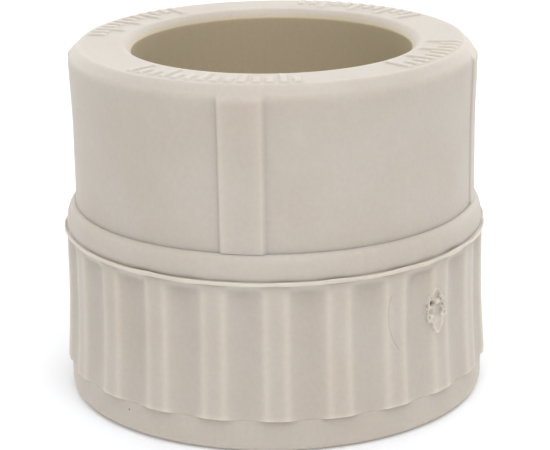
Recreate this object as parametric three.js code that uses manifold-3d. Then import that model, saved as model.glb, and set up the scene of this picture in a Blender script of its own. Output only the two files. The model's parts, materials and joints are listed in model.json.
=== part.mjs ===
// Plastic pipe adapter: a polypropylene body with a fusion socket on top, moulded round a brass
// insert that carries a female pipe thread in the fluted end below.
// Millimetres, +Z up along the common axis, origin at the centre of the base.
import * as THREE from "three";
import { mergeVertices } from "three/addons/utils/BufferGeometryUtils.js";
import Module from "manifold-3d";

const wasm = await Module();
wasm.setup();

// Space left between two pieces that touch on the real part.
const PIECE_GAP = 0.3;
// How far a cutter runs past the face it opens.
const CUTTER_OVERRUN = 1;

// Female pipe thread, 3/4 inch, 55 degree flanks, 14 threads to the inch.
const THREAD_MAJOR_RADIUS = 13.22;
const INCH = 25.4;
const THREADS_PER_INCH = 14;
const THREAD_PITCH = INCH / THREADS_PER_INCH;
const THREAD_DEPTH_PER_PITCH = 0.6403;
const THREAD_DEPTH = THREAD_DEPTH_PER_PITCH * THREAD_PITCH;
const THREAD_ROOT_WIDTH = THREAD_PITCH / 6;
const THREAD_HALF_ANGLE = THREE.MathUtils.degToRad(27.5);
const THREAD_LENGTH = 15;
const THREAD_MOUTH_CHAMFER = 0.4;
// How far the groove's cutter reaches inside the bore.
const THREAD_CUTTER_PROUD = 0.2;

// Brass insert: a stack of bands from its open end up.
const INSERT_SET_BACK = 0.3;
const INSERT_WALL = 2;
const INSERT_GROOVE_DEPTH = 1.8;
const INSERT_LUG_ROOT_DEPTH = 0.9;
const INSERT_LUG_HEIGHT = 1.2;
const INSERT_LUG_WIDTH = 2.4;
const INSERT_LUG_COUNT = 16;
const FOOT_COLLAR_LENGTH = 3;
const LOCK_GROOVE_LENGTH = 2.4;
const LUG_BAND_LENGTH = 5;
const TOP_COLLAR_LENGTH = 5.2;
const TOP_COLLAR_SET_BACK = 0.4;
const INSERT_EDGE_CHAMFER = 0.4;

// Rubber seal ring round the insert.
const SEAL_SECTION_RADIUS = 1;

// Fusion socket for a 32 mm pipe.
const SOCKET_MOUTH_RADIUS = 15.55;
const SOCKET_BORE_TAPER = 0.1;
const SOCKET_DEPTH = 18.1;
const SOCKET_WALL = 6.95;
const SOCKET_WALL_DRAFT = 0.2;
const SOCKET_MOUTH_ROUNDING = 1.2;
const SOCKET_EDGE_ROUNDING = 1.45;
const PIPE_STOP_THICKNESS = 2.6;
const WATERWAY_RADIUS = 12;

// Raised strips that mark the quarter turns of the socket.
const STRIP_COUNT = 4;
const STRIP_WIDTH = 4.65;
const STRIP_RELIEF = 0.24;
const STRIP_ROOT_DEPTH = 1.7;
const STRIP_TOP_MARGIN = 1.4;
const STRIP_FIRST_ANGLE = THREE.MathUtils.degToRad(-98.6);

// Shoulder and grip band below the socket.
const FOOT_ABOVE_STOP = 0.37;
const SHOULDER_HEIGHT = 2.77;
const SHOULDER_STEP = 0.95;
const COVER_OVER_INSERT = 4.9;
const LIP_HEIGHT = 0.4;
const LIP_RELIEF = 0.15;
const LIP_CHAMFER = 0.1;
const WAIST_HEIGHT = 13.2;
const FLUTE_COUNT = 22;
const FLUTE_DEPTH = 0.66;
const FLUTE_VALLEY_SHARE = 0.64;
const FLUTE_END_RUN = 0.9;
const CREST_FLARE = 0.45;
const FLARE_POWER = 1.6;
const CREST_FOOT_LEDGE = 0.42;
const LEDGE_HEIGHT = 0.3;
const BASE_RING_HEIGHT = 3.6;
const BASE_EDGE_ROUNDING = 1.1;

// Facets round the axis.
const SEGMENTS_PER_FLUTE = 6;
const BODY_SEGMENTS = FLUTE_COUNT * SEGMENTS_PER_FLUTE;
const ROUND_SEGMENTS = 48;
const THREAD_STEPS_PER_TURN = 24;
const SEAL_SECTION_SEGMENTS = 6;
const SEAL_SEGMENTS = 48;
const EDGE_STEPS = 2;
const SHOULDER_STEPS = 3;
const STRIP_STEPS = 3;
// Rows of facets between the ledge and the waist, as shares of that height.
const FLARE_ROWS = [0.3, 0.65];

// Vertices closer than this are one vertex of a solid.
const MERGE_DISTANCE = 1e-4;

// Radii that follow from the sizes above.
const threadMinorRadius = THREAD_MAJOR_RADIUS - THREAD_DEPTH;
const grooveRadius = THREAD_MAJOR_RADIUS + INSERT_WALL;
const collarRadius = grooveRadius + INSERT_GROOVE_DEPTH;
const lugRootRadius = collarRadius - INSERT_LUG_ROOT_DEPTH;
const lugTipRadius = lugRootRadius + INSERT_LUG_HEIGHT;
const topCollarRadius = collarRadius - TOP_COLLAR_SET_BACK;
const sealRadius = grooveRadius + PIECE_GAP + SEAL_SECTION_RADIUS;
const sealOuterRadius = sealRadius + SEAL_SECTION_RADIUS;
const socketRootRadius = SOCKET_MOUTH_RADIUS - SOCKET_BORE_TAPER;
const socketOuterRadius = SOCKET_MOUTH_RADIUS + SOCKET_WALL;
const socketFootRadius = socketOuterRadius - SOCKET_WALL_DRAFT;
const insertOuterRadius = Math.max(collarRadius, lugTipRadius, sealOuterRadius) + PIECE_GAP;
const waistRadius = Math.max(
  socketOuterRadius + SHOULDER_STEP,
  insertOuterRadius + COVER_OVER_INSERT + FLUTE_DEPTH,
);
const crestFootRadius = waistRadius + CREST_FLARE;
const baseRadius = crestFootRadius - CREST_FOOT_LEDGE;

// Heights that follow from the sizes above.
const sealGrooveLength = 2 * (SEAL_SECTION_RADIUS + PIECE_GAP);
const lugBandBottom = INSERT_SET_BACK + FOOT_COLLAR_LENGTH + LOCK_GROOVE_LENGTH;
const lugBandTop = lugBandBottom + LUG_BAND_LENGTH;
const sealHeight = lugBandTop + sealGrooveLength / 2;
const insertTop = lugBandTop + sealGrooveLength + TOP_COLLAR_LENGTH;
const pipeStopHeight = insertTop + PIECE_GAP + PIPE_STOP_THICKNESS;
const totalHeight = pipeStopHeight + SOCKET_DEPTH;
const socketFootHeight = pipeStopHeight + FOOT_ABOVE_STOP;
const lipTop = socketFootHeight - SHOULDER_HEIGHT;
const gripTop = lipTop - LIP_HEIGHT;

// Merged, indexed copy of a geometry as a solid for cutting and joining.
function toSolid(geometry) {
  const bare = geometry.clone();
  bare.deleteAttribute("normal");
  bare.deleteAttribute("uv");
  const merged = mergeVertices(bare, MERGE_DISTANCE);
  const corners = [];
  for (let i = 0; i < merged.index.count; i += 3) {
    const [a, b, c] = [0, 1, 2].map((k) => merged.index.getX(i + k));
    if (a !== b && b !== c && c !== a) corners.push(a, b, c);
  }
  return new wasm.Manifold(
    new wasm.Mesh({
      numProp: 3,
      vertProperties: merged.attributes.position.array,
      triVerts: new Uint32Array(corners),
    }),
  );
}

function toGeometry(solid) {
  const mesh = solid.getMesh();
  const geometry = new THREE.BufferGeometry();
  geometry.setAttribute("position", new THREE.BufferAttribute(mesh.vertProperties, 3));
  geometry.setIndex(new THREE.BufferAttribute(mesh.triVerts, 1));
  geometry.computeVertexNormals();
  return geometry;
}

// Solid of revolution about Z from [radius, height] points.
function turned(outline, segments = ROUND_SEGMENTS) {
  const points = outline.map(([radius, height]) => new THREE.Vector2(radius, height));
  return new THREE.LatheGeometry(points, segments).rotateX(Math.PI / 2);
}

// Points of a quarter ellipse about a centre, from one angle to another in degrees.
function arc([radius, height], across, along, from, to, steps) {
  return Array.from({ length: steps + 1 }, (_, i) => {
    const angle = THREE.MathUtils.degToRad(from + ((to - from) * i) / steps);
    return [radius + across * Math.cos(angle), height + along * Math.sin(angle)];
  });
}

function copiesRound(count, firstAngle, makeOne) {
  return Array.from({ length: count }, (_, i) => {
    const angle = firstAngle + (i * 2 * Math.PI) / count;
    return toSolid(makeOne().rotateZ(angle));
  });
}

function joined(solids) {
  return solids.reduce((whole, next) => whole.add(next));
}

// 0 at the waist and above it, 1 where the grip band meets the base ring.
function flareAt(height) {
  const drop = (WAIST_HEIGHT - height) / (WAIST_HEIGHT - BASE_RING_HEIGHT - LEDGE_HEIGHT);
  return Math.max(0, drop) ** FLARE_POWER;
}

function crestRadius(height) {
  return waistRadius + CREST_FLARE * flareAt(height);
}

// The valleys run out level with the base ring at the bottom and under the lip at the top.
function valleyDepth(height) {
  const atFoot = FLUTE_DEPTH + (CREST_FOOT_LEDGE - FLUTE_DEPTH) * flareAt(height);
  const topRun = THREE.MathUtils.clamp((gripTop - height) / FLUTE_END_RUN, 0, 1);
  return atFoot * topRun;
}

// 0 on a crest, 1 at the middle of a valley, for an angle from a crest's middle line.
function valleyShape(angle) {
  const turn = angle / ((2 * Math.PI) / FLUTE_COUNT);
  const fromValley = Math.abs(turn - Math.floor(turn) - 0.5);
  return Math.max(0, 1 - (fromValley / (FLUTE_VALLEY_SHARE / 2)) ** 2);
}

function gripRows() {
  const bottom = BASE_RING_HEIGHT + LEDGE_HEIGHT;
  const middle = FLARE_ROWS.map((share) => bottom + share * (WAIST_HEIGHT - bottom));
  return [bottom, ...middle, WAIST_HEIGHT, gripTop - FLUTE_END_RUN, gripTop];
}

function cutFlutes(geometry) {
  const place = geometry.attributes.position;
  for (let i = 0; i < place.count; i += 1) {
    const radius = Math.hypot(place.getX(i), place.getY(i));
    const height = place.getZ(i);
    const inGrip = height > BASE_RING_HEIGHT + LEDGE_HEIGHT / 2 && height < gripTop;
    if (inGrip && radius > 0) {
      // A crest's middle line faces -Y.
      const angle = Math.atan2(place.getY(i), place.getX(i)) + Math.PI / 2;
      const scale = 1 - (valleyDepth(height) * valleyShape(angle)) / radius;
      place.setX(i, place.getX(i) * scale);
      place.setY(i, place.getY(i) * scale);
    }
  }
  return geometry;
}

function bodyBlank() {
  const shoulderReach = waistRadius - socketFootRadius;
  const baseCentre = [baseRadius - BASE_EDGE_ROUNDING, BASE_EDGE_ROUNDING];
  const edgeCentre = [
    socketOuterRadius - SOCKET_EDGE_ROUNDING,
    totalHeight - SOCKET_EDGE_ROUNDING,
  ];
  const outline = [
    [0, 0],
    ...arc(baseCentre, BASE_EDGE_ROUNDING, BASE_EDGE_ROUNDING, -90, 0, EDGE_STEPS),
    [baseRadius, BASE_RING_HEIGHT],
    ...gripRows().map((height) => [crestRadius(height), height]),
    [waistRadius + LIP_RELIEF, gripTop + LIP_CHAMFER],
    [waistRadius + LIP_RELIEF, lipTop - LIP_CHAMFER],
    ...arc([socketFootRadius, lipTop], shoulderReach, SHOULDER_HEIGHT, 0, 90, SHOULDER_STEPS),
    ...arc(edgeCentre, SOCKET_EDGE_ROUNDING, SOCKET_EDGE_ROUNDING, 0, 90, EDGE_STEPS),
    [0, totalHeight],
  ];
  return toSolid(cutFlutes(turned(outline, BODY_SEGMENTS)));
}

// One strip, a slab bent to the wall and tapering with it, standing on the shoulder.
function alignmentStrip() {
  const length = totalHeight - STRIP_TOP_MARGIN - socketFootHeight;
  const outer = socketOuterRadius + STRIP_RELIEF;
  const inner = socketFootRadius - STRIP_ROOT_DEPTH;
  const halfAngle = STRIP_WIDTH / 2 / outer;
  const section = new THREE.Shape();
  section.absarc(0, 0, outer, -halfAngle, halfAngle, false);
  section.absarc(0, 0, inner, halfAngle, -halfAngle, true);
  const slab = new THREE.ExtrudeGeometry(section, {
    depth: length,
    bevelEnabled: false,
    curveSegments: STRIP_STEPS,
  });
  const place = slab.attributes.position;
  for (let i = 0; i < place.count; i += 1) {
    const draft = SOCKET_WALL_DRAFT * (1 - place.getZ(i) / length);
    const scale = 1 - draft / outer;
    place.setX(i, place.getX(i) * scale);
    place.setY(i, place.getY(i) * scale);
  }
  return slab.translate(0, 0, socketFootHeight);
}

// Outside of the insert, grown by the clearance where it is used to hollow the body.
function insertOutline(grow) {
  const bands = [
    [collarRadius, FOOT_COLLAR_LENGTH],
    [grooveRadius, LOCK_GROOVE_LENGTH],
    [lugRootRadius, LUG_BAND_LENGTH],
    [grooveRadius, sealGrooveLength],
    [topCollarRadius, TOP_COLLAR_LENGTH],
  ];
  const outline = [];
  let bottom = INSERT_SET_BACK;
  bands.forEach(([radius, length], i) => {
    const top = bottom + length;
    const below = bands[i - 1] ? bands[i - 1][0] : 0;
    const above = bands[i + 1] ? bands[i + 1][0] : 0;
    // A wider band grows into the space of a narrower neighbour, and a narrower one gives way.
    const low = bottom + (radius > below ? -grow : grow);
    const high = top + (radius > above ? grow : -grow);
    outline.push([radius + grow, low], [radius + grow, high]);
    bottom = top;
  });
  return outline;
}

// Lugs that stop the insert from turning in the plastic.
function insertLugs(grow) {
  const height = INSERT_LUG_HEIGHT + INSERT_WALL + grow;
  const makeOne = () =>
    new THREE.BoxGeometry(
      height,
      INSERT_LUG_WIDTH + 2 * grow,
      LUG_BAND_LENGTH + 2 * grow,
    ).translate(lugTipRadius + grow - height / 2, 0, (lugBandBottom + lugBandTop) / 2);
  return copiesRound(INSERT_LUG_COUNT, 0, makeOne);
}

// Room for the seal ring: a plain channel on its inner half, the ring's own shape on the outer.
function sealSpace() {
  const low = sealHeight - sealGrooveLength / 2;
  const high = sealHeight + sealGrooveLength / 2;
  const channel = turned([
    [grooveRadius, low],
    [sealRadius, low],
    [sealRadius, high],
    [grooveRadius, high],
    [grooveRadius, low],
  ]);
  return toSolid(channel).add(toSolid(sealTorus(PIECE_GAP)));
}

// Space that the insert and its seal ring fill, open at the base.
function insertCavity() {
  const outline = insertOutline(PIECE_GAP);
  outline[0] = [collarRadius + PIECE_GAP, -CUTTER_OVERRUN];
  const space = turned([
    [0, -CUTTER_OVERRUN],
    ...outline,
    [0, insertTop + PIECE_GAP],
  ]);
  return joined([toSolid(space), ...insertLugs(PIECE_GAP), sealSpace()]);
}

// Waterway neck and pipe socket, with the pipe stop between them.
function socketCavity() {
  const mouth = SOCKET_MOUTH_ROUNDING;
  const mouthCentre = [SOCKET_MOUTH_RADIUS + mouth, totalHeight - mouth];
  const outline = [
    [0, insertTop],
    [WATERWAY_RADIUS, insertTop],
    [WATERWAY_RADIUS, pipeStopHeight],
    [socketRootRadius, pipeStopHeight],
    ...arc(mouthCentre, mouth, mouth, 180, 90, EDGE_STEPS),
    [SOCKET_MOUTH_RADIUS + mouth, totalHeight + CUTTER_OVERRUN],
    [0, totalHeight + CUTTER_OVERRUN],
  ];
  return toSolid(turned(outline));
}

// Path of the thread groove. Its section keeps square to the axis all the way.
class ThreadHelix extends THREE.Curve {
  constructor(radius, pitch, turns) {
    super();
    this.radius = radius;
    this.pitch = pitch;
    this.turns = turns;
  }

  getPoint(t, target = new THREE.Vector3()) {
    const angle = 2 * Math.PI * this.turns * t;
    const height = this.pitch * this.turns * t;
    return target.set(this.radius * Math.cos(angle), this.radius * Math.sin(angle), height);
  }

  computeFrenetFrames(steps) {
    const frames = { tangents: [], normals: [], binormals: [] };
    for (let i = 0; i <= steps; i += 1) {
      const angle = (2 * Math.PI * this.turns * i) / steps;
      frames.tangents.push(this.getTangent(i / steps));
      frames.normals.push(new THREE.Vector3(Math.cos(angle), Math.sin(angle), 0));
      frames.binormals.push(new THREE.Vector3(0, 0, -1));
    }
    return frames;
  }
}

// Solid with the shape of the thread groove, a little proud of the bore on the inside.
function threadGroove() {
  const proud = THREAD_CUTTER_PROUD;
  const rootHalfWidth = THREAD_ROOT_WIDTH / 2;
  const halfWidthAt = (depth) =>
    rootHalfWidth + (THREAD_DEPTH - depth) * Math.tan(THREAD_HALF_ANGLE);
  const section = new THREE.Shape([
    new THREE.Vector2(-proud, -halfWidthAt(-proud)),
    new THREE.Vector2(THREAD_DEPTH, -rootHalfWidth),
    new THREE.Vector2(THREAD_DEPTH, rootHalfWidth),
    new THREE.Vector2(-proud, halfWidthAt(-proud)),
  ]);
  const turns = THREAD_LENGTH / THREAD_PITCH + 1;
  const groove = new THREE.ExtrudeGeometry(section, {
    steps: Math.ceil(turns * THREAD_STEPS_PER_TURN),
    extrudePath: new ThreadHelix(threadMinorRadius, THREAD_PITCH, turns),
  });
  return toSolid(groove.translate(0, 0, INSERT_SET_BACK - THREAD_PITCH));
}

function sealTorus(grow) {
  const ring = new THREE.TorusGeometry(
    sealRadius,
    SEAL_SECTION_RADIUS + grow,
    SEAL_SECTION_SEGMENTS,
    SEAL_SEGMENTS,
  );
  return ring.translate(0, 0, sealHeight);
}

function bodyGeometry() {
  const strips = copiesRound(STRIP_COUNT, STRIP_FIRST_ANGLE, alignmentStrip);
  const whole = joined([bodyBlank(), ...strips]);
  return toGeometry(whole.subtract(insertCavity()).subtract(socketCavity()));
}

function insertGeometry() {
  const mouthRadius = THREAD_MAJOR_RADIUS + THREAD_MOUTH_CHAMFER;
  const mouthDepth = mouthRadius - threadMinorRadius;
  const edge = INSERT_EDGE_CHAMFER;
  const outside = insertOutline(0);
  const [[footRadius, footHeight]] = outside;
  const [topRadius, topHeight] = outside[outside.length - 1];
  const ring = [
    [mouthRadius, INSERT_SET_BACK],
    [footRadius - edge, footHeight],
    [footRadius, footHeight + edge],
    ...outside.slice(1, -1),
    [topRadius, topHeight - edge],
    [topRadius - edge, topHeight],
    [threadMinorRadius + edge, insertTop],
    [threadMinorRadius, insertTop - edge],
    [threadMinorRadius, INSERT_SET_BACK + mouthDepth],
    [mouthRadius, INSERT_SET_BACK],
  ];
  const blank = joined([toSolid(turned(ring)), ...insertLugs(0)]);
  return toGeometry(blank.subtract(threadGroove()));
}

const polypropylene = new THREE.MeshStandardMaterial({
  color: 0xc6beb1,
  roughness: 0.62,
  metalness: 0,
});
const nickelPlatedBrass = new THREE.MeshStandardMaterial({
  color: 0xc9c5b6,
  roughness: 0.3,
  metalness: 1,
});
const sealRubber = new THREE.MeshStandardMaterial({
  color: 0x1c1c1d,
  roughness: 0.75,
  metalness: 0,
});

function piece(name, geometry, material) {
  const mesh = new THREE.Mesh(geometry, material);
  mesh.name = name;
  return mesh;
}

const adapter = new THREE.Group();
adapter.add(
  piece("ppr_body", bodyGeometry(), polypropylene),
  piece("brass_insert", insertGeometry(), nickelPlatedBrass),
  piece("insert_seal_ring", sealTorus(0), sealRubber),
);

export default adapter;
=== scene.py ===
# %% [markdown]
# # A moulded pipe adapter
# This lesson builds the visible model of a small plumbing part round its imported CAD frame. The
# part is one injection moulding of polypropylene with a fusion socket on top. It is moulded round
# a nickel-plated brass insert with a female thread, and a rubber ring seals the two. The CAD nodes
# are plain and faceted, so each one gets a fine mesh of the same size that replaces it.

# %% Load the frame
import json
import math

import bpy
from mathutils import Matrix, Vector, noise

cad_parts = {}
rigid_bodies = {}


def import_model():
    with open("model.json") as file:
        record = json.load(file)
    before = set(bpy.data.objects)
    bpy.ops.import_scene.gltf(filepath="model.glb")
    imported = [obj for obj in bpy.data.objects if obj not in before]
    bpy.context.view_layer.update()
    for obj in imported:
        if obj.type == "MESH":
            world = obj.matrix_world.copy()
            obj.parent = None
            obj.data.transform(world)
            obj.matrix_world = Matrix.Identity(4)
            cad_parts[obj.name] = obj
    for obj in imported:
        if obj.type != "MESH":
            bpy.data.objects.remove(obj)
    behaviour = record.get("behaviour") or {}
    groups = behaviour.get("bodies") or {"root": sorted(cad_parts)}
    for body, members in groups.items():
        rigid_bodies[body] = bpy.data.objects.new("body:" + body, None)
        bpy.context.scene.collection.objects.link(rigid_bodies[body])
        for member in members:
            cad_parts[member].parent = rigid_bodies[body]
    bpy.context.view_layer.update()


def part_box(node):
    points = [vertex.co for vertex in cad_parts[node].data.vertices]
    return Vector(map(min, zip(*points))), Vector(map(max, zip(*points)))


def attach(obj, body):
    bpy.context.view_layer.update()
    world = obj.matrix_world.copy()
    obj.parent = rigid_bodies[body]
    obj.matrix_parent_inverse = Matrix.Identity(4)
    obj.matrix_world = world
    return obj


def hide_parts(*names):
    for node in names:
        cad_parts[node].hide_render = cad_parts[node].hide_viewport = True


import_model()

# %% [markdown]
# ## Sizes
# Blender works in metres and a plumber in millimetres, so every size below is written in
# millimetres and multiplied by MM where it meets the mesh. The overall sizes are read from the CAD
# nodes. What the boxes can't tell, such as the bore, is named here once.

# %% Sizes
MM = 0.001


def box_mm(node):
    low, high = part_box(node)
    return low / MM, high / MM


body_high = box_mm("ppr_body")[1]
insert_low, insert_high = box_mm("brass_insert")
seal_low, seal_high = box_mm("insert_seal_ring")

TOTAL_HEIGHT = body_high.z
CREST_FOOT = body_high.y  # a crest's middle line faces -Y and +Y
INSERT_BOTTOM = insert_low.z
INSERT_TOP = insert_high.z
LUG_TIP = insert_high.x
LUGS = 16
LUG_HALF = 3.75  # degrees

SNUG = 0.04  # space drawn between pieces that touch
WALL_MOUTH = 22.5  # socket outside, at the mouth
WALL_DRAFT = 0.2
ON_WALL = WALL_MOUTH - 1.6  # vertices further out than this are on the socket's outside
EDGE_REACH = 1.35  # how far the bevel between the end face and the wall reaches in
EDGE_SOFT = 0.35
EDGE_TURN = 1.3
WALL_TAPER_FROM = 30.5
WALL_TAPER_TO = 37.6
BORE_MOUTH = 15.55
BORE_ROOT = 15.45
LEAD_REACH = 1.2  # how far the lead-in bevel for the pipe reaches out
LEAD_SOFT = 0.7
LEAD_TURN = 0.35
STOP_HEIGHT = 21.4
NECK = 12.0
FOOT_HEIGHT = 21.77
LIP_TOP = 19.0
LIP_THICK = 0.36
LIP_PROUD = 0.16
GRIP_TOP = LIP_TOP - LIP_THICK
SHOULDER_MID = 19.5
SHOULDER_OUT = 1.06
WAIST = 23.45
WAIST_HEIGHT = 13.2
LEDGE = 0.42
BASE_RADIUS = CREST_FOOT - LEDGE
ON_GRIP = BASE_RADIUS - 1  # vertices further out than this are on the grip
BASE_TOP = 3.6
BASE_ROUND = 1.1
GROOVE = 15.22
COLLAR = 17.02
LUG_ROOT = 16.12
TOP_COLLAR = 16.62
FOOT_COLLAR_TOP = INSERT_BOTTOM + 3.0
LUG_LOW = FOOT_COLLAR_TOP + 2.4
LUG_HIGH = LUG_LOW + 5.0
SEAL_MID = (seal_low.z + seal_high.z) / 2
SEAL_SECTION = 1.0
SEAL_RADIUS = seal_high.x - SEAL_SECTION
TOP_COLLAR_LOW = SEAL_MID + 1.3
THREAD_MAJOR = 13.22
INCH = 25.4
THREADS_PER_INCH = 14
THREAD_PITCH = INCH / THREADS_PER_INCH
THREAD_DEPTH_PER_PITCH = 0.6403
THREAD_DEPTH = THREAD_DEPTH_PER_PITCH * THREAD_PITCH
THREAD_LENGTH = 15.0
print(f"height {TOTAL_HEIGHT:.2f} mm, widest radius {CREST_FOOT:.2f} mm, seal at {SEAL_MID:.2f} mm")

# %% [markdown]
# ## Camera
# A long lens from a little above and slightly to one side of level, so the end face and the bore
# show, and the round edges stay nearly parallel. The camera is rolled by a fraction of a degree,
# as a hand-placed one is.

# %% Camera
LENS_MM = 136.13
CAMERA_PLACE = Vector((0.00006, -0.22544, 0.08931))
CAMERA_DOWN = 17.584
CAMERA_ROLL = -0.928

camera_data = bpy.data.cameras.new("product_camera")
camera_data.lens = LENS_MM
camera_data.sensor_width = 36
camera_data.clip_start = 0.01
camera_data.clip_end = 20
camera = bpy.data.objects.new("product_camera", camera_data)
bpy.context.scene.collection.objects.link(camera)
tilt = Matrix.Rotation(math.radians(90 - CAMERA_DOWN), 4, "X")
roll = Matrix.Rotation(math.radians(CAMERA_ROLL), 4, "Z")
camera.matrix_world = Matrix.Translation(CAMERA_PLACE) @ tilt @ roll
bpy.context.scene.camera = camera
print("camera at", tuple(camera.location), "lens", LENS_MM)

# %% [markdown]
# ## Helpers for shaping
# Operators act on whatever is selected, and loading the frame leaves its nodes selected. So the
# first helpers clear the selection and pick one piece. The others are the few moves that every
# piece here is made of: draw half an outline and spin it, mark vertices with weights, and push the
# weighted vertices with a modifier. Displace follows the normals or one axis, and normals slant at
# every edge. Cast draws vertices towards or away from an axis, so it moves them straight out or in.

# %% Helpers for shaping
def deselect_all():
    for other in bpy.context.selected_objects:
        other.select_set(False)


def only(piece):
    deselect_all()
    piece.select_set(True)
    bpy.context.view_layer.objects.active = piece


def arc(centre, across, along, start, end, steps):
    """Points of a stretch of an ellipse in (radius, height), angles in degrees."""
    points = []
    for i in range(steps + 1):
        angle = math.radians(start + (end - start) * i / steps)
        points.append((centre[0] + across * math.cos(angle), centre[1] + along * math.sin(angle)))
    return points


def bevel(start, wall, top, soft, turn):
    """From a flat top to a wall through a 45 degree bevel, rounded at both of its corners."""
    side = 1 if wall > start else -1
    half = math.sin(math.radians(45))
    slope = abs(wall - start) - soft * half - turn * (1 - half)
    foot = top - soft * (1 - half) - slope - turn * half
    upper = arc((start, top - soft), side * soft, soft, 90, 45, 5)
    lower = arc((wall - side * turn, foot), side * turn, turn, 45, 0, 7)
    return upper + lower


def between(start, end, count):
    """Evenly spaced points between two (radius, height) points, ends left out."""
    first, last = Vector(start), Vector(end)
    return [tuple(first.lerp(last, i / (count + 1))) for i in range(1, count + 1)]


def drawn(name, points):
    """Draws a line through (radius, height) points vertex by vertex, and stays in edit mode."""
    deselect_all()
    bpy.ops.mesh.primitive_plane_add(size=MM)
    piece = bpy.context.object
    piece.name = name
    piece.data.name = name
    bpy.ops.object.mode_set(mode="EDIT")
    bpy.ops.mesh.select_mode(type="VERT")
    bpy.ops.mesh.merge(type="CENTER")
    place = Vector((points[0][0], 0, points[0][1])) * MM
    bpy.ops.transform.translate(value=place)
    for radius, height in points[1:]:
        target = Vector((radius, 0, height)) * MM
        bpy.ops.mesh.extrude_region_move(TRANSFORM_OT_translate={"value": target - place})
        place = target
    return piece


def spun(name, outline, steps):
    """Draws a closed half outline, then spins it once round Z."""
    piece = drawn(name, outline + outline[:1])
    bpy.ops.mesh.select_all(action="SELECT")
    bpy.ops.mesh.spin(steps=steps, angle=2 * math.pi, center=(0, 0, 0), axis=(0, 0, 1))
    bpy.ops.mesh.select_all(action="SELECT")
    bpy.ops.mesh.remove_doubles(threshold=0.002 * MM)
    bpy.ops.mesh.normals_make_consistent(inside=False)
    bpy.ops.object.mode_set(mode="OBJECT")
    return piece


def edit_faces(piece, chosen):
    """Goes into edit mode with only the faces that chosen(radius, angle, height) picks."""
    only(piece)
    bpy.ops.object.mode_set(mode="EDIT")
    bpy.ops.mesh.select_mode(type="FACE")
    bpy.ops.mesh.select_all(action="DESELECT")
    bpy.ops.object.mode_set(mode="OBJECT")
    for face in piece.data.polygons:
        face.select = chosen(*polar_mm(face.center))
    bpy.ops.object.mode_set(mode="EDIT")


def polar_mm(place):
    """Radius in mm, angle from the -Y line in degrees (right is positive), height in mm."""
    radius = math.hypot(place.x, place.y) / MM
    return radius, math.degrees(math.atan2(place.x, -place.y)), place.z / MM


def weigh(piece, name, share):
    """Gives each vertex a weight from share(radius, angle, height) in a new vertex group."""
    group = piece.vertex_groups.new(name=name)
    touched = 0
    for vertex in piece.data.vertices:
        weight = share(*polar_mm(vertex.co))
        if weight > 0:
            group.add([vertex.index], min(weight, 1), "REPLACE")
            touched += 1
    return touched


def settle(piece, name, modifier):
    """Applies a modifier and drops the vertex group that steered it."""
    only(piece)
    bpy.ops.object.modifier_apply(modifier=modifier.name)
    piece.vertex_groups.remove(piece.vertex_groups[name])


CAST_RADIUS = 12.0  # the smallest radius that is pushed


def push_out(piece, name, share, distance):
    """Moves vertices straight out from the Z axis, by share times a distance in mm."""

    def scaled(radius, angle, height):
        return share(radius, angle, height) * CAST_RADIUS / max(radius, CAST_RADIUS)

    touched = weigh(piece, name, scaled)
    modifier = piece.modifiers.new(name, "CAST")
    modifier.cast_type = "CYLINDER"
    modifier.use_z = False
    modifier.use_radius_as_size = False
    modifier.size = MM / 1000
    modifier.factor = -distance / CAST_RADIUS
    modifier.vertex_group = name
    settle(piece, name, modifier)
    print(f"{name}: {touched} vertices moved by up to {distance:.2f} mm")


def paint(piece, name, share):
    """Stores a number from share(radius, angle, height) on each vertex, for a material."""
    layer = piece.data.attributes.new(name, "FLOAT", "POINT")
    values = [share(*polar_mm(vertex.co)) for vertex in piece.data.vertices]
    layer.data.foreach_set("value", values)
    print(f"{name}: painted from {min(values):.2f} to {max(values):.2f}")


def lift(piece, name, share, distance):
    """Moves vertices up, by share times a distance in mm."""
    touched = weigh(piece, name, share)
    modifier = piece.modifiers.new(name, "DISPLACE")
    modifier.direction = "Z"
    modifier.mid_level = 0
    modifier.strength = distance * MM
    modifier.vertex_group = name
    settle(piece, name, modifier)
    print(f"{name}: {touched} vertices lifted by up to {distance:.2f} mm")


def smooth_step(value, low, high):
    t = max(0.0, min(1.0, (value - low) / (high - low)))
    return t * t * (3 - 2 * t)


def turn_from(angle, centre):
    """Signed degrees from a centre angle, from -180 to 180."""
    return (angle - centre + 180) % 360 - 180


# %% [markdown]
# ## Body: the turned shape
# The moulding is round apart from its flutes, strips and marks, so its half outline is drawn once
# and spun. The outline runs from the base, up the fluted band, over the shoulder and the socket
# wall, across the end face, down the bore to the pipe stop, and down round the insert. It has
# close rows only where something is shaped later. 24 steps to each of the 22 flutes give a column
# about every quarter of a millimetre.

# %% Body outline
FLUTES = 22
COLUMNS = FLUTES * 24
FLUTE_TURN = 360 / FLUTES
FLARE_POWER = 1.6


def flare_at(height):
    drop = (WAIST_HEIGHT - height) / (WAIST_HEIGHT - BASE_TOP)
    return max(0.0, drop) ** FLARE_POWER


def crest_at(height):
    return WAIST + (CREST_FOOT - WAIST) * flare_at(height)


def grip_outline():
    low, high = BASE_TOP + 0.1, GRIP_TOP
    corner = [(crest_at(low) - 0.1, low), (crest_at(low) - 0.03, low + 0.04)]
    rows = [low + 0.12, low + 0.3, low + 0.6]
    rows += [low + 1.1 + 0.62 * i for i in range(19)]
    rows += [high - 1.7 + 0.2 * i for i in range(9)] + [high - 0.04]
    return corner + [(crest_at(height), height) for height in rows]


def lip_outline():
    """The fin's edge, and the small step behind it at the foot of the shoulder."""
    tip, high = WAIST + LIP_PROUD, LIP_TOP
    return [
        (WAIST + 0.08, high - LIP_THICK),
        (tip, high - LIP_THICK + 0.07),
        (tip + 0.01, high - 0.08),
        (tip - 0.05, high),
        (WAIST - 0.02, high + 0.01),
        (WAIST - 0.12, high + 0.06),
    ]


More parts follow.
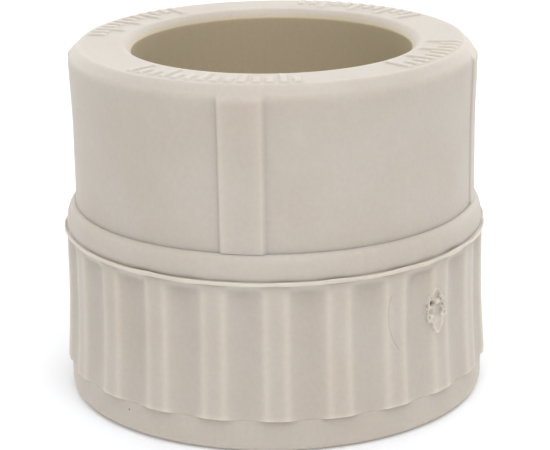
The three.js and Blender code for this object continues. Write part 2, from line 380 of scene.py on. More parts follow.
def wall_at(height):
    flare = smooth_step(height, WALL_TAPER_FROM, WALL_TAPER_TO)
    return WALL_MOUTH - WALL_DRAFT * (1 - flare)


def body_outline():
    top = TOTAL_HEIGHT
    base_centre = (BASE_RADIUS - BASE_ROUND, BASE_ROUND)
    wall_rows = [FOOT_HEIGHT + gap for gap in (0.02, 0.14, 0.3, 0.6)]
    wall_rows += [24 + 2.0 * i for i in range(6)] + [35.6, 36.6, 37.2, 37.6]
    face_inner = (BORE_MOUTH + LEAD_REACH, top)
    face_outer = (WALL_MOUTH - EDGE_REACH, top)
    lead_in = bevel(face_inner[0], BORE_MOUTH, top, LEAD_SOFT, LEAD_TURN)
    edge = bevel(face_outer[0], WALL_MOUTH, top, EDGE_SOFT, EDGE_TURN)
    cavity = [
        (NECK, INSERT_TOP + SNUG),
        (TOP_COLLAR + SNUG, INSERT_TOP + SNUG),
        (TOP_COLLAR + SNUG, TOP_COLLAR_LOW - SNUG),
        *arc((SEAL_RADIUS, SEAL_MID), SEAL_SECTION + SNUG, 1.3 - SNUG, 60, -60, 6),
        (LUG_ROOT + SNUG, LUG_HIGH + SNUG),
        (LUG_TIP + SNUG, LUG_HIGH + SNUG),
        (LUG_TIP + SNUG, LUG_LOW - SNUG),
        (GROOVE + SNUG, LUG_LOW - SNUG),
        (GROOVE + SNUG, FOOT_COLLAR_TOP + SNUG),
        (COLLAR + SNUG, FOOT_COLLAR_TOP + SNUG),
        (COLLAR + SNUG, 0.12),
        (COLLAR + SNUG + 0.12, 0),
    ]
    return [
        (COLLAR + 1.4, 0),
        *arc(base_centre, BASE_ROUND, BASE_ROUND, -90, 0, 8),
        *between((BASE_RADIUS, BASE_ROUND), (BASE_RADIUS, BASE_TOP), 3),
        (BASE_RADIUS, BASE_TOP - 0.1),
        (BASE_RADIUS, BASE_TOP),
        *grip_outline(),
        *lip_outline(),
        *arc((wall_at(0), SHOULDER_MID), SHOULDER_OUT, FOOT_HEIGHT - SHOULDER_MID, -8, 90, 13),
        *[(wall_at(height), height) for height in wall_rows],
        *reversed(edge),
        *between(face_outer, face_inner, 17),
        *lead_in,
        *between(lead_in[-1], (BORE_ROOT, STOP_HEIGHT), 7),
        (BORE_ROOT, STOP_HEIGHT + 0.25),
        (BORE_ROOT - 0.25, STOP_HEIGHT),
        (NECK + 0.3, STOP_HEIGHT),
        (NECK, STOP_HEIGHT - 0.3),
        *cavity,
    ]


body = spun("moulded_body", body_outline(), COLUMNS)
print(f"body: {len(body.data.vertices)} vertices in {COLUMNS} columns")

# %% [markdown]
# ## Body: flutes
# The mould has 22 shallow scoops round the grip, wider than the flats between them. They run out
# level with the base ring, so each flat ends on a small ledge there, and they fade out under the
# lip. The scoop's depth is a weight from 0 to 1 that follows the angle and the height.

# %% Body flutes
FLUTE_DEPTH = 0.66
VALLEY_SHARE = 0.64
CORNER_SOFT = 0.07
FLUTE_END = 1.0


def from_flat(angle):
    """0 at the middle of a flat, 0.5 at the middle of a scoop."""
    return abs(turn_from(angle, FLUTE_TURN * round(angle / FLUTE_TURN))) / FLUTE_TURN


def scoop(angle):
    """0 on a flat, 1 at the middle of a scoop, with a rounded corner between them."""
    hollow = 1 - ((0.5 - from_flat(angle)) / (VALLEY_SHARE / 2)) ** 2
    return (hollow + math.sqrt(hollow**2 + CORNER_SOFT**2)) / 2 if hollow > -0.6 else 0.0


def flute_share(radius, angle, height):
    if not BASE_TOP + 0.05 < height < GRIP_TOP - 0.01 or radius < ON_GRIP:
        return 0
    depth = FLUTE_DEPTH + (LEDGE - FLUTE_DEPTH) * flare_at(height)
    depth = min(depth, radius - BASE_RADIUS + 0.6 * (height - BASE_TOP))
    fade = smooth_step(GRIP_TOP - height, -0.1, FLUTE_END)
    return scoop(angle) * depth * fade / FLUTE_DEPTH


push_out(body, "flutes", flute_share, -FLUTE_DEPTH)

# %% [markdown]
# ## Body: strips
# Four raised strips a quarter turn apart help the plumber to line the pipe up while it is welded.
# They stand a quarter of a millimetre proud of the wall, from the shoulder to the bevelled edge of
# the end face.

# %% Body strips
STRIPS = 4
STRIP_RELIEF = 0.24
STRIP_MIDDLE = -8.6
STRIP_HALF = 5.95
STRIP_SOFT = 0.5


def from_strip(angle):
    """Degrees from the middle of the nearest strip."""
    return abs(turn_from(angle * STRIPS, STRIP_MIDDLE * STRIPS)) / STRIPS


def strip_end(height):
    """1 along a strip, fading to 0 where the wall turns into the end face."""
    return 1 - smooth_step(height, TOTAL_HEIGHT - 1.7, TOTAL_HEIGHT - 0.6)


def strip_share(radius, angle, height):
    if height < FOOT_HEIGHT - 0.01 or radius < ON_WALL:
        return 0
    side = 1 - smooth_step(from_strip(angle), STRIP_HALF - STRIP_SOFT, STRIP_HALF + STRIP_SOFT)
    return side * strip_end(height)


push_out(body, "strips", strip_share, STRIP_RELIEF)

# %% [markdown]
# ## Body: marks on the end face
# A real fitting has raised marks on its end face. Here they are a plain graduation: short radial
# ticks in four groups, every third one long, with no letters or numbers. They stand a fifth of a
# millimetre proud. A group is written as its first column and its number of ticks.

# %% Body marks
MARK_RELIEF = 0.2
COLUMN_TURN = 360 / COLUMNS
MARK_STEP = 6 * COLUMN_TURN
MARK_OUTER = 20.7
MARK_LONG = 17.3
MARK_SHORT = 18.9
MARK_GROUPS = ((-67, 14), (65, 10), (-212, 12), (182, 12))


def mark_share(radius, angle, height):
    if height < TOTAL_HEIGHT - 0.01 or not MARK_LONG - 0.3 < radius < MARK_OUTER + 0.3:
        return 0
    best = 0
    for column, count in MARK_GROUPS:
        first = column * COLUMN_TURN
        number = round(turn_from(angle, first) / MARK_STEP)
        if 0 <= number < count:
            off = abs(turn_from(angle, first + number * MARK_STEP)) / COLUMN_TURN
            inner = MARK_LONG if number % 3 == 0 else MARK_SHORT
            side = 1 - smooth_step(off, 1.05, 1.6)
            along = smooth_step(radius, inner - 0.2, inner + 0.05)
            along *= 1 - smooth_step(radius, MARK_OUTER - 0.05, MARK_OUTER + 0.2)
            best = max(best, side * along)
    return best


lift(body, "marks", mark_share, MARK_RELIEF)

# %% [markdown]
# ## Body: traces of the mould
# Where the two halves of the mould meet, a thin fin of plastic stands out under the shoulder. It is
# never even, so noise with a fixed seed makes it thick in one place and thin in the next. The wall
# has a barely visible wave from shrinkage, and plastic between the insert's lugs keeps it from
# turning.

# %% Body mould traces
FIN_RELIEF = 0.2
FIN_RISE = 0.3
SINK_DEPTH = 0.05


def wander(angle, scale, seed):
    """Smooth noise round the part, from 0 to 1, the same on every run."""
    turn = math.radians(angle)
    place = Vector((math.cos(turn) * scale, math.sin(turn) * scale, seed))
    return min(1.0, max(0.0, 0.5 + 0.5 * noise.noise(place) * 1.6))


def fin_share(radius, angle, height):
    if radius < WAIST + 0.02 or abs(height - LIP_TOP + LIP_THICK / 2) > LIP_THICK / 2 + 0.02:
        return 0
    return wander(angle, scale=9, seed=3.1) * (0.55 + 0.45 * wander(angle, scale=30, seed=7.7))


def fin_rise_share(radius, angle, height):
    if radius < WAIST + 0.02 or not LIP_TOP - 0.15 < height < LIP_TOP + 0.02:
        return 0
    return wander(angle, scale=6, seed=5.9) ** 2


def sink_share(radius, angle, height):
    if not FOOT_HEIGHT + 1 < height < TOTAL_HEIGHT - 2 or radius < WALL_MOUTH - 1:
        return 0
    return wander(angle, scale=2.2, seed=height * 0.08)


def lug_gap_share(radius, angle, height):
    if abs(radius - LUG_TIP - SNUG) > 0.05 or not LUG_LOW - 0.1 < height < LUG_HIGH + 0.1:
        return 0
    off = abs(turn_from(angle * LUGS, 0)) / LUGS
    return 1 if off > LUG_HALF + 0.3 else 0


push_out(body, "fin", fin_share, FIN_RELIEF)
lift(body, "fin rise", fin_rise_share, FIN_RISE)
push_out(body, "sink", sink_share, -SINK_DEPTH)
push_out(body, "lug gaps", lug_gap_share, LUG_ROOT - LUG_TIP)

# %% [markdown]
# ## Body: where the plastic went in
# The melt enters through one small hole in the mould, on the grip. Breaking off the runner leaves
# a short stub beside a pit, and tears the skin round them: a ragged rim that hangs down in a flap.
# These are a few tenths of a millimetre across, so the faces round that spot are divided first.

# %% Body gate mark
GATE_ANGLE = 47.0
GATE_HEIGHT = 14.0
GATE_AREA = 4.2
GATE_CUTS = 3
GATE_STUB = 0.36
GATE_PIT = 0.55
TEAR_HALF = 1.3
TEAR_HIGH = 1.65
TEAR_LOW = -3.5


def gate_place(angle, height):
    """Millimetres to the right of the gate and above it, along the surface."""
    return math.radians(turn_from(angle, GATE_ANGLE)) * WAIST, height - GATE_HEIGHT


def near_gate(radius, angle, height):
    return radius > ON_GRIP and math.hypot(*gate_place(angle, height)) < GATE_AREA


def spot(x, y, centre_x, centre_y, width, tall):
    """1 at the middle of an ellipse and 0 at its edge, with a smooth fall."""
    reach = math.hypot((x - centre_x) / width, (y - centre_y) / tall)
    return 1 - smooth_step(reach, 0.35, 1)


def tear_depth(x, y):
    """Millimetres inside the torn skin's outline, which is round above and pointed below."""
    share = (y - TEAR_LOW) / (TEAR_HIGH - TEAR_LOW)
    if not 0 < share < 1:
        return -1
    ragged = 1 + 0.6 * noise.noise(Vector((x * 2.2, y * 2.2, 4.2)))
    return TEAR_HALF * math.sin(math.pi * share**1.15) ** 0.65 * ragged - abs(x - 0.1)


def tear_rim(x, y):
    """1 along the torn edge, widest where the skin hangs down."""
    width = 0.2 + 0.16 * smooth_step(-y, 0.6, 2.0)
    lifted = 0.45 + 0.55 * smooth_step(-y, 0.2, 1.8)
    return lifted * (1 - smooth_step(abs(tear_depth(x, y) - 0.16), 0.4 * width, width))


def gate_raised(radius, angle, height):
    if not near_gate(radius, angle, height):
        return 0
    x, y = gate_place(angle, height)
    stub = spot(x, y, 0.3, 0.05, 0.55, 0.42)
    flap = 0.5 * smooth_step(tear_depth(x, y), 0, 0.3) * smooth_step(-y, 1.3, 2.1)
    return max(stub, flap, 0.75 * tear_rim(x, y))


def gate_sunk(radius, angle, height):
    if not near_gate(radius, angle, height):
        return 0
    x, y = gate_place(angle, height)
    pit = spot(x, y, -0.42, -0.1, 0.46, 0.42)
    hollow = 0.25 * smooth_step(tear_depth(x, y), 0.3, 0.6) * smooth_step(y, -1.9, -1.2)
    return max(pit, hollow)


edit_faces(body, near_gate)
bpy.ops.mesh.subdivide(number_cuts=GATE_CUTS)
bpy.ops.object.mode_set(mode="OBJECT")
push_out(body, "gate stub", gate_raised, GATE_STUB)
push_out(body, "gate pit", gate_sunk, -GATE_PIT)

# %% [markdown]
# ## Body: painted highlights and shade
# The corners of the flats, the edges of the strips and the torn rim get a painted highlight, a
# little paler than the rest, and the torn skin is painted paler too. The foot of a strip and the
# middle of a flute get painted shade. Both follow the shape, so they are worked out from the same
# angles and stored on the vertices, where the material reads them.

# %% Body painted highlights and shade
# painted highlight at the flats' corners and strip edges, painted shade in the scoops and at the
# strips' feet
CORNER_AT = 0.5 - VALLEY_SHARE / 2
CORNER_ON_FLAT = 0.5  # how far a corner's paleness reaches over the flat
CORNER_IN_SCOOP = 0.42
SCOOP_PAINTED_SHADE = 0.42
SCOOP_SHADE_FROM = 0.25
STRIP_PAINTED_HIGHLIGHT = 1.15
STRIP_HIGHLIGHT_REACH = 0.6
STRIP_PAINTED_SHADE = 1.1
STRIP_SHADE_REACH = 0.35
SKIN_PALE = 0.6


def fall(distance, reach):
    """1 at a line and towards 0 over the reach, in mm, on one side of it. 0 on the other side."""
    return math.exp(-distance / reach) if distance >= 0 else 0.0


# painted highlight at the corners of a flat, painted shade in the middle of a scoop
def flute_painted_light(angle, height):
    beyond = (from_flat(angle) - CORNER_AT) * math.radians(FLUTE_TURN) * WAIST
    fade = smooth_step(GRIP_TOP - height, 0.2, FLUTE_END + 0.4)
    reach = CORNER_IN_SCOOP if beyond > 0 else CORNER_ON_FLAT
    edge = math.exp(-((beyond + 0.1) / reach) ** 2)
    painted_shade = max(0.0, scoop(angle) - SCOOP_SHADE_FROM)
    return fade * (edge - SCOOP_PAINTED_SHADE * painted_shade)


# painted highlight along a strip's edges, painted shade along its foot
def strip_painted_light(angle, height):
    beyond = math.radians(from_strip(angle) - STRIP_HALF) * WALL_MOUTH
    painted_highlight = STRIP_PAINTED_HIGHLIGHT * fall(-beyond - 0.05, STRIP_HIGHLIGHT_REACH)
    painted_shade = STRIP_PAINTED_SHADE * fall(beyond - 0.1, STRIP_SHADE_REACH)
    return strip_end(height) * (painted_highlight - painted_shade)


def painted_light_and_pale_skin(radius, angle, height):
    """Above 0 for a painted highlight and for the paler torn skin, below 0 for painted shade."""
    if near_gate(radius, angle, height):
        x, y = gate_place(angle, height)
        skin = SKIN_PALE * smooth_step(tear_depth(x, y), 0, 0.3) * smooth_step(-y, 0.4, 1.2)
        return max(flute_painted_light(angle, height), tear_rim(x, y), skin)
    if radius > ON_GRIP and BASE_TOP + 0.05 < height < GRIP_TOP:
        return flute_painted_light(angle, height)
    if radius > ON_WALL and height > FOOT_HEIGHT:
        return strip_painted_light(angle, height)
    return 0.0


# painted highlights and painted shade, stored on the vertices
paint(body, "painted_light_and_pale_skin", painted_light_and_pale_skin)

# %% [markdown]
# ## Insert: the turned brass
# The insert starts as a turned ring: a foot collar, a groove that locks it in the plastic, a knurled
# band, the seal's groove and a top collar. It is drawn and spun like the body. The knurl is made of
# 16 lugs. Each is five columns of the band, selected together and pushed out.

# %% Insert blank
INSERT_COLUMNS = 240
THREAD_MINOR = THREAD_MAJOR - THREAD_DEPTH
CHAMFER = 0.4


def insert_outline():
    low, high = INSERT_BOTTOM, INSERT_TOP
    mouth = THREAD_MAJOR + 0.2
    return [
        (THREAD_MINOR, high - CHAMFER),
        (THREAD_MINOR, low + mouth - THREAD_MINOR),
        (mouth, low),
        (COLLAR - CHAMFER, low),
        (COLLAR, low + CHAMFER),
        (COLLAR, FOOT_COLLAR_TOP - 0.2),
        (COLLAR - 0.2, FOOT_COLLAR_TOP),
        (GROOVE, FOOT_COLLAR_TOP),
        (GROOVE, LUG_LOW),
        (LUG_ROOT, LUG_LOW),
        (LUG_ROOT, LUG_HIGH),
        (GROOVE, LUG_HIGH),
        (GROOVE, TOP_COLLAR_LOW),
        (TOP_COLLAR, TOP_COLLAR_LOW),
        (TOP_COLLAR, high - CHAMFER),
        (TOP_COLLAR - CHAMFER, high),
        (THREAD_MINOR + CHAMFER, high),
    ]


insert = spun("threaded_insert", insert_outline(), INSERT_COLUMNS)


def on_lug(radius, angle, height):
    off = abs(turn_from(angle * LUGS, 0)) / LUGS
    return abs(radius - LUG_ROOT) < 0.1 and LUG_LOW < height < LUG_HIGH and off < LUG_HALF


edit_faces(insert, on_lug)
bpy.ops.mesh.extrude_region_shrink_fatten(
    TRANSFORM_OT_shrink_fatten={"value": (LUG_TIP - LUG_ROOT) * MM}
)
bpy.ops.object.mode_set(mode="OBJECT")
print(f"insert blank: {len(insert.data.polygons)} faces, {LUGS} lugs")

# %% [markdown]
# ## Insert: the pipe thread
# A pipe thread of 14 turns to the inch is cut into the bore. A tap is modelled the way a real one
# works: one tooth outline, rounded at crest and root, swept up a helix by the Screw modifier. The
# tap is then subtracted from the blank.

# %% Insert thread
TAP_STEPS = 96
TAP_TURNS = 11
TAP_RUN_OUT = 1.2 * THREAD_PITCH  # the last teeth get shallower over this length


def tooth_outline(points=12):
    """One pitch of the thread: radius against height, rounded at crest and root."""
    outline = []
    for i in range(points + 1):
        share = i / points
        wave = 0.5 - 0.5 * math.cos(2 * math.pi * share)
        slope = 1 - abs(2 * share - 1)
        blend = 0.45 * wave + 0.55 * min(1, max(0, 1.25 * slope - 0.125))
        outline.append((THREAD_MINOR - 0.02 + THREAD_DEPTH * blend, share * THREAD_PITCH))
    return outline


def make_tap():
    tap = drawn("tap", tooth_outline())
    bpy.ops.object.mode_set(mode="OBJECT")
    sweep = tap.modifiers.new("helix", "SCREW")
    sweep.axis = "Z"
    sweep.screw_offset = THREAD_PITCH * MM
    sweep.iterations = TAP_TURNS
    sweep.steps = TAP_STEPS
    sweep.render_steps = TAP_STEPS
    sweep.use_merge_vertices = True
    sweep.merge_threshold = 0.001 * MM
    bpy.ops.object.modifier_apply(modifier=sweep.name)
    return tap


def trim_tap(tap, low, high):
    """Cuts the tap off flat at both ends and closes it."""
    only(tap)
    bpy.ops.object.mode_set(mode="EDIT")
    bpy.ops.mesh.select_all(action="SELECT")
    bpy.ops.mesh.remove_doubles(threshold=0.001 * MM)
    for height, upward in ((low, False), (high, True)):
        bpy.ops.mesh.select_all(action="SELECT")
        bpy.ops.mesh.bisect(
            plane_co=(0, 0, height * MM),
            plane_no=(0, 0, 1),
            use_fill=True,
            threshold=0.00001 * MM,
            clear_inner=not upward,
            clear_outer=upward,
        )
    bpy.ops.mesh.select_all(action="SELECT")
    bpy.ops.mesh.normals_make_consistent(inside=False)
    bpy.ops.object.mode_set(mode="OBJECT")


tap = make_tap()
tap.location.z = (INSERT_BOTTOM - 2 * THREAD_PITCH) * MM
only(tap)
bpy.ops.object.transform_apply(location=True)
trim_tap(tap, INSERT_BOTTOM - 0.5, INSERT_BOTTOM + THREAD_LENGTH)


def tap_end_share(radius, angle, height):
    start = INSERT_BOTTOM + THREAD_LENGTH - TAP_RUN_OUT
    return max(0, height - start) / TAP_RUN_OUT


push_out(tap, "tap end", tap_end_share, -THREAD_DEPTH)
cut = insert.modifiers.new("thread", "BOOLEAN")
cut.operation = "DIFFERENCE"
cut.solver = "EXACT"
cut.object = tap
only(insert)
bpy.ops.object.modifier_apply(modifier=cut.name)
bpy.data.objects.remove(tap)
print(f"insert with thread: {len(insert.data.polygons)} faces")

# %% [markdown]
# ## Seal ring
# The rubber ring is a plain torus with the fine line that its two-part mould leaves.

# %% Seal ring
deselect_all()
bpy.ops.mesh.primitive_torus_add(
    location=(0, 0, SEAL_MID * MM),
    major_radius=SEAL_RADIUS * MM,
    minor_radius=(SEAL_SECTION - 0.02) * MM,
    major_segments=120,
    minor_segments=24,
)
seal = bpy.context.object
seal.name = "rubber_seal"
bpy.ops.object.transform_apply(location=True)


def flash_share(radius, angle, height):
    return 1 if abs(height - SEAL_MID) < 0.02 and radius > SEAL_RADIUS else 0


push_out(seal, "mould line", flash_share, 0.02)
print(f"seal: {len(seal.data.polygons)} faces")

# %% [markdown]
# ## Smooth shading
# Faces that meet at less than 30 degrees are shaded as one surface. Sharper edges stay sharp.

# %% Smooth shading
SMOOTH_UP_TO = 30  # degrees
PIECES = (body, insert, seal)
for piece in PIECES:
    only(piece)
    bpy.ops.object.shade_smooth_by_angle(angle=math.radians(SMOOTH_UP_TO))
    print(piece.name, "smooth up to", SMOOTH_UP_TO, "degrees")

# %% [markdown]
# ## Helpers for materials
# Colours are written as the hex codes of a paint chart and turned into the linear values that
# Blender mixes. Pattern sizes are given in millimetres.

# %% Helpers for materials
SMOOTH = {"interpolation_type": "SMOOTHSTEP"}
TIMES = {"operation": "MULTIPLY"}
LARGER = {"operation": "MAXIMUM"}


def colour(code):
    shares = [int(code[i : i + 2], 16) / 255 for i in (1, 3, 5)]
    linear = [c / 12.92 if c <= 0.04045 else ((c + 0.055) / 1.055) ** 2.4 for c in shares]
    return (*linear, 1)


def per_mm(size):
    """Texture scale, in metres, for a pattern of this size in millimetres."""
    return 1 / (size * MM)


def add(tree, kind, inputs=None, **settings):
    """Adds a shader node. An input is a number, a colour or another node's output."""
    node = tree.nodes.new("ShaderNode" + kind)
    for name, value in settings.items():
        setattr(node, name, value)
    for socket, value in (inputs or {}).items():
        if isinstance(value, bpy.types.NodeSocket):
            tree.links.new(value, node.inputs[socket])
        else:
            node.inputs[socket].default_value = value
    return node


def new_material(name):
    material = bpy.data.materials.new(name)
    material.use_nodes = True
    shader = material.node_tree.nodes["Principled BSDF"]
    return material, material.node_tree, shader


def span(value, low, high, start=0.0, end=1.0):
    """Inputs that turn a value between low and high into one between start and end."""
    return {"Value": value, "From Min": low, "From Max": high, "To Min": start, "To Max": end}


def dress(piece, material):
    piece.data.materials.clear()
    piece.data.materials.append(material)


# %% [markdown]
# ## Moulded polypropylene
# Pipe-grade polypropylene is a dull, slightly waxy plastic. This one is pigmented a warm pale grey.
# Light goes about a millimetre into it, which softens thin edges. The mould's finish leaves a
# very fine grain, drawn here 0.4 mm wide so that it shows, and cooling leaves faint blotches. The
# bore is smoother, with drag lines left by the steel core as it was drawn out, and a warmer,
# darker colour is painted in it as painted shade. Beside the gate there is a hairline where two
# streams of melt met, and a few burnt specks sit in the surface. The gate's pit is darkened with
# the specks' colour.
# Two ambient occlusion nodes, which look at this piece only, paint shade into the hollows and a
# highlight onto thin corners, and the painted highlights and shade stored on the vertices add more.

# %% Moulded polypropylene
PLASTIC = "#D3C9BC"
PLASTIC_WARM = "#D0C4B5"
# painted shade: a warmer, darker colour inside the bore
BORE_PAINTED_SHADE = "#CEC0A4"
SPECK = "#6E6252"
BLOTCH_SIZE = 9
DRAG_WIDTH = 0.7
DRAG_STRETCH = 0.04  # scale of the drag lines along the bore
KNIT_REACH = 6.8  # from the gate to the hairline
KNIT_RELIEF = 0.05
KNIT_STAIN = 0.12
GRAIN_SIZE = 0.4
GRAIN_RELIEF = 0.03
FLECK_SIZE = 0.5
MOTTLE = 0.02
# painted shade in hollows and a painted highlight on thin corners, multiplied into the colour
HOLLOW_REACH = 2.5
HOLLOW_SHADE = 0.68
CORNER_REACH = 0.7
CORNER_PAINTED_HIGHLIGHT = 1.15
PAINTED_LIGHT_SHARE = 0.1


def surface_place(angle, height, radius):
    turn = math.radians(angle)
    return (math.sin(turn) * radius * MM, -math.cos(turn) * radius * MM, height * MM)


def near(tree, coordinates, place, reach):
    """1 within a few tenths of a millimetre of a place, 0 beyond it."""
    distance = add(tree, "VectorMath", {0: coordinates, 1: place}, operation="DISTANCE")
    fade = span(distance.outputs["Value"], reach * 0.5 * MM, reach * MM, 1.0, 0.0)
    return add(tree, "MapRange", fade, **SMOOTH).outputs["Result"]


plastic, tree, shader = new_material("moulded polypropylene")
coordinates = add(tree, "TexCoord").outputs["Object"]
parts = add(tree, "SeparateXYZ", {0: coordinates})
flat = add(tree, "CombineXYZ", {"X": parts.outputs["X"], "Y": parts.outputs["Y"]}).outputs[0]
radius = add(tree, "VectorMath", {0: flat}, operation="LENGTH").outputs["Value"]

blotches = add(tree, "TexNoise", {"Vector": coordinates, "Scale": per_mm(BLOTCH_SIZE), "Detail": 3})
blotch = add(tree, "MapRange", span(blotches.outputs["Fac"], 0.35, 0.75), **SMOOTH)
tint = add(tree, "Mix", {"Factor": blotch.outputs["Result"]}, data_type="RGBA")
tint.inputs["A"].default_value = colour(PLASTIC)
tint.inputs["B"].default_value = colour(PLASTIC_WARM)

inward = add(tree, "MapRange", span(radius, 15.7 * MM, 16.1 * MM, 1.0, 0.0), **SMOOTH)
above_stop = add(tree, "MapRange", span(parts.outputs["Z"], 20 * MM, 21 * MM), **SMOOTH)
in_bore = {0: inward.outputs["Result"], 1: above_stop.outputs["Result"]}
in_bore = add(tree, "Math", in_bore, **TIMES).outputs[0]
stretch = add(tree, "Mapping", {"Vector": coordinates, "Scale": (1, 1, DRAG_STRETCH)}).outputs[0]
drag = add(tree, "TexNoise", {"Vector": stretch, "Scale": per_mm(DRAG_WIDTH), "Detail": 3})
drag = add(tree, "MapRange", span(drag.outputs["Fac"], 0.5, 0.75), **SMOOTH).outputs["Result"]
drag_lines = add(tree, "Math", {0: drag, 1: in_bore}, **TIMES).outputs[0]
# painted shade: the bore's warmer, darker colour is mixed in where in_bore is 1
bore_painted_shade = add(tree, "Mix", {"Factor": in_bore}, data_type="RGBA")
tree.links.new(tint.outputs["Result"], bore_painted_shade.inputs["A"])
bore_painted_shade.inputs["B"].default_value = colour(BORE_PAINTED_SHADE)

# angle, height and radius of each speck's place, and its size; the last one darkens the gate's pit
SPECKS = (
    (-44.0, 38.5, 22.45, 0.16),
    (-43.0, 2.7, 23.5, 0.13),
    (-51.2, 4.25, 23.55, 0.13),
    (GATE_ANGLE - 1.25, GATE_HEIGHT - 0.1, WAIST - 0.75, 0.5),
)
speck_share = 0.0
for angle, height, distance, size in SPECKS:
    share = near(tree, coordinates, surface_place(angle, height, distance), size)
    speck_share = add(tree, "Math", {0: speck_share, 1: share}, **LARGER).outputs[0]

gate_point = surface_place(GATE_ANGLE, GATE_HEIGHT, WAIST)
from_gate = add(tree, "VectorMath", {0: coordinates, 1: gate_point}, operation="DISTANCE")
past_knit = {0: from_gate.outputs["Value"], 1: KNIT_REACH * MM}
past_knit = add(tree, "Math", past_knit, operation="SUBTRACT").outputs[0]
off_knit = add(tree, "Math", {0: past_knit}, operation="ABSOLUTE").outputs[0]
left_edge = gate_point[0] - 1 * MM
KNIT_LIMITS = (
    span(parts.outputs["Z"], 9.5 * MM, 10.4 * MM),
    span(parts.outputs["Z"], 15.8 * MM, 16.8 * MM, 1.0, 0.0),
    span(parts.outputs["X"], left_edge - 1 * MM, left_edge, 1.0, 0.0),
)
knit = span(off_knit, 0.03 * MM, 0.09 * MM, 1.0, 0.0)
knit = add(tree, "MapRange", knit, **SMOOTH).outputs["Result"]
for limit in KNIT_LIMITS:
    share = add(tree, "MapRange", limit, **SMOOTH).outputs["Result"]
    knit = add(tree, "Math", {0: knit, 1: share}, **TIMES).outputs[0]

knit_stain = add(tree, "Math", {0: knit, 1: KNIT_STAIN}, **TIMES).outputs[0]
stain = add(tree, "Math", {0: speck_share, 1: knit_stain}, **LARGER).outputs[0]
specked = add(tree, "Mix", {"Factor": stain}, data_type="RGBA")
tree.links.new(bore_painted_shade.outputs["Result"], specked.inputs["A"])
specked.inputs["B"].default_value = colour(SPECK)

# Painted shade: one ambient occlusion node darkens the colour in hollows. Painted highlight: an
# inside one lightens it on thin corners.
rays = {"samples": 8, "only_local": True}
outside = add(tree, "AmbientOcclusion", {"Distance": HOLLOW_REACH * MM}, **rays)
inside = add(tree, "AmbientOcclusion", {"Distance": CORNER_REACH * MM}, inside=True, **rays)
# the painted highlights and shade stored on the vertices
painted = add(tree, "Attribute", attribute_name="painted_light_and_pale_skin")
flecks = add(tree, "TexNoise", {"Vector": coordinates, "Scale": per_mm(FLECK_SIZE), "Detail": 2})
SHADES = (
    span(outside.outputs["AO"], 0.4, 1.0, HOLLOW_SHADE, 1.0),
    span(inside.outputs["AO"], 0.5, 1.0, CORNER_PAINTED_HIGHLIGHT, 1.0),
    span(painted.outputs["Fac"], -1.0, 1.0, 1 - PAINTED_LIGHT_SHARE, 1 + PAINTED_LIGHT_SHARE),
    span(flecks.outputs["Fac"], 0.3, 0.7, 1 - MOTTLE, 1 + MOTTLE),
)
shade = 1.0
for inputs in SHADES:
    share = add(tree, "MapRange", inputs).outputs["Result"]
    shade = add(tree, "Math", {0: shade, 1: share}, **TIMES).outputs[0]
shaded = add(tree, "VectorMath", {0: specked.outputs["Result"], 3: shade}, operation="SCALE")

grain = add(tree, "TexNoise", {"Vector": coordinates, "Scale": per_mm(GRAIN_SIZE), "Detail": 3})
BUMPS = (
    (grain.outputs["Fac"], 0.5, GRAIN_RELIEF),
    (drag_lines, 0.3, GRAIN_RELIEF),
    (knit, 1.0, KNIT_RELIEF),
)
bump = None
for relief, strength, depth in BUMPS:
    inputs = {"Height": relief, "Strength": strength, "Distance": depth * MM}
    if bump:
        inputs["Normal"] = bump.outputs[0]
    bump = add(tree, "Bump", inputs)
bump.invert = True  # the last one, the hairline, is a groove
tree.links.new(shaded.outputs["Vector"], shader.inputs["Base Color"])
tree.links.new(bump.outputs[0], shader.inputs["Normal"])
shader.inputs["Roughness"].default_value = 0.56
shader.inputs["IOR"].default_value = 1.49
shader.inputs["Subsurface Weight"].default_value = 0.6
shader.inputs["Subsurface Radius"].default_value = (1.0, 0.85, 0.6)
shader.inputs["Subsurface Scale"].default_value = 1.2 * MM
dress(body, plastic)
print("plastic:", len(tree.nodes), "nodes")

# %% [markdown]
# ## Nickel-plated brass
# The insert is turned, then plated with nickel: a slightly warm silver, brighter than steel. The
# cutting tool leaves fine rings, so the roughness and the surface vary with the distance from the
# axis and with the height, and not round the part.

# %% Nickel-plated brass
NICKEL = "#CFC9BD"
nickel, tree, shader = new_material("nickel-plated brass")
coordinates = add(tree, "TexCoord").outputs["Object"]
parts = add(tree, "SeparateXYZ", {0: coordinates})
flat = add(tree, "CombineXYZ", {"X": parts.outputs["X"], "Y": parts.outputs["Y"]}).outputs[0]
radius = add(tree, "VectorMath", {0: flat}, operation="LENGTH").outputs["Value"]
lathe = add(tree, "CombineXYZ", {"X": radius, "Y": parts.outputs["Z"]}).outputs[0]
rings = add(tree, "TexNoise", {"Vector": lathe, "Scale": per_mm(0.12), "Detail": 2})
ring_bump = add(
    tree, "Bump", {"Height": rings.outputs["Fac"], "Strength": 0.4, "Distance": 0.006 * MM}
)
polish = add(tree, "MapRange", span(rings.outputs["Fac"], 0.3, 0.7, 0.2, 0.32), **SMOOTH)
tree.links.new(polish.outputs["Result"], shader.inputs["Roughness"])
tree.links.new(ring_bump.outputs[0], shader.inputs["Normal"])
shader.inputs["Base Color"].default_value = colour(NICKEL)
shader.inputs["Metallic"].default_value = 1.0
dress(insert, nickel)
print("nickel:", len(tree.nodes), "nodes")

# %% [markdown]
# ## Black rubber
# The seal is EPDM rubber: black, matt, with a faint bloom that greys it in patches.

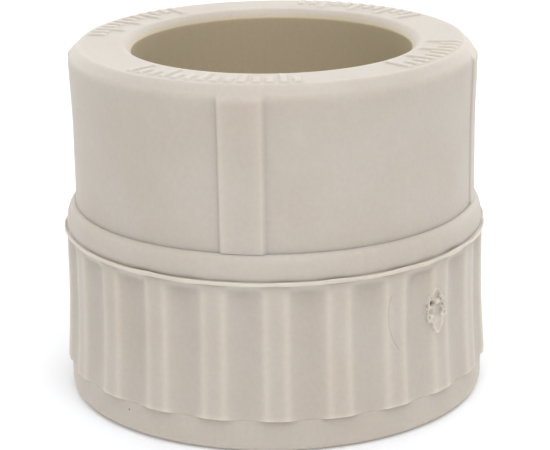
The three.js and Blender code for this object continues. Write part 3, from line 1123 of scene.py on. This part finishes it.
# %% Black rubber
RUBBER = "#1D1D1E"
RUBBER_BLOOM = "#2B2B2C"
rubber, tree, shader = new_material("EPDM rubber")
coordinates = add(tree, "TexCoord").outputs["Object"]
bloom = add(tree, "TexNoise", {"Vector": coordinates, "Scale": per_mm(4), "Detail": 2})
patches = add(tree, "MapRange", span(bloom.outputs["Fac"], 0.4, 0.7), **SMOOTH)
tint = add(tree, "Mix", {"Factor": patches.outputs["Result"]}, data_type="RGBA")
tint.inputs["A"].default_value = colour(RUBBER)
tint.inputs["B"].default_value = colour(RUBBER_BLOOM)
tree.links.new(tint.outputs["Result"], shader.inputs["Base Color"])
shader.inputs["Roughness"].default_value = 0.72
shader.inputs["IOR"].default_value = 1.52
dress(seal, rubber)
print("rubber:", len(tree.nodes), "nodes")

# %% [markdown]
# ## Floor
# A plain white table, big enough to fill the view and lit faintly from beneath, as a product
# photographer's acrylic sheet is. It lies a hair under the part.

# %% Floor
FLOOR_SIZE = 3.0
TABLE_GLOW = 0.12
deselect_all()
bpy.ops.mesh.primitive_plane_add(size=FLOOR_SIZE, location=(0, 0, -0.02 * MM))
floor = bpy.context.object
floor.name = "floor"
acrylic, tree, shader = new_material("white acrylic sheet")
shader.inputs["Base Color"].default_value = colour("#F4F4F4")
shader.inputs["Roughness"].default_value = 0.9
shader.inputs["Specular IOR Level"].default_value = 0.1
shader.inputs["Emission Color"].default_value = colour("#FFFFFF")
shader.inputs["Emission Strength"].default_value = TABLE_GLOW
dress(floor, acrylic)
print("floor", FLOOR_SIZE, "m")

# %% [markdown]
# ## Light
# The part stands in a dim white tent. Behind it are a lit backdrop and a softbox on each side,
# which light its round edges from behind. A softbox straight above, a little cooler than the rest,
# lights the end face. The key light is high above the camera and carries that light over the bevel.

# %% Light
TENT = 0.37
AIM = Vector((0, 0, 0.02))
SOFTBOXES = (
    ("backdrop", (0.0, 0.9, 0.38), (1.5, 0.7), 0.7, "#FFFFFF"),
    ("left", (-0.62, 0.78, 0.35), (0.7, 0.6), 1.4, "#FFFFFF"),
    ("right", (0.62, 0.78, 0.35), (0.7, 0.6), 1.8, "#FFFFFF"),
    ("top", (0.0, 0.0, 0.85), (0.5, 0.5), 2.9, "#EBF3FF"),
    ("key", (0.07, -0.38, 0.7), (0.5, 0.5), 3.6, "#F6F9FF"),
)


def softbox(name, place, size, brightness, code):
    """An area light. Its power is its brightness times its area times pi."""
    data = bpy.data.lights.new(name, "AREA")
    data.shape = "RECTANGLE"
    data.size, data.size_y = size
    data.energy = brightness * size[0] * size[1] * math.pi
    data.color = colour(code)[:3]
    lamp = bpy.data.objects.new(name, data)
    lamp.location = place
    lamp.rotation_euler = (AIM - Vector(place)).to_track_quat("-Z", "Y").to_euler()
    bpy.context.scene.collection.objects.link(lamp)


world = bpy.data.worlds.new("white tent")
world.use_nodes = True
background = world.node_tree.nodes["Background"]
background.inputs["Color"].default_value = (1, 1, 1, 1)
background.inputs["Strength"].default_value = TENT
bpy.context.scene.world = world
for name, place, size, brightness, code in SOFTBOXES:
    softbox(name, place, size, brightness, code)
bpy.context.scene.view_settings.view_transform = "Standard"
print("tent", TENT, "and", len(SOFTBOXES), "softboxes")

# %% [markdown]
# ## Hand over
# Each fine piece stands for its CAD node and moves with the part's only body.

# %% Hand over
PLACES = (
    (body, "ppr_body", "polypropylene"),
    (insert, "brass_insert", "nickel_plated_brass"),
    (seal, "insert_seal_ring", "seal_rubber"),
)
for piece, node, slot in PLACES:
    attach(piece, "root")
    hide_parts(node)
    triangles = sum(len(face.vertices) - 2 for face in piece.data.polygons)
    print(piece.name, "for", node, triangles, "triangles")
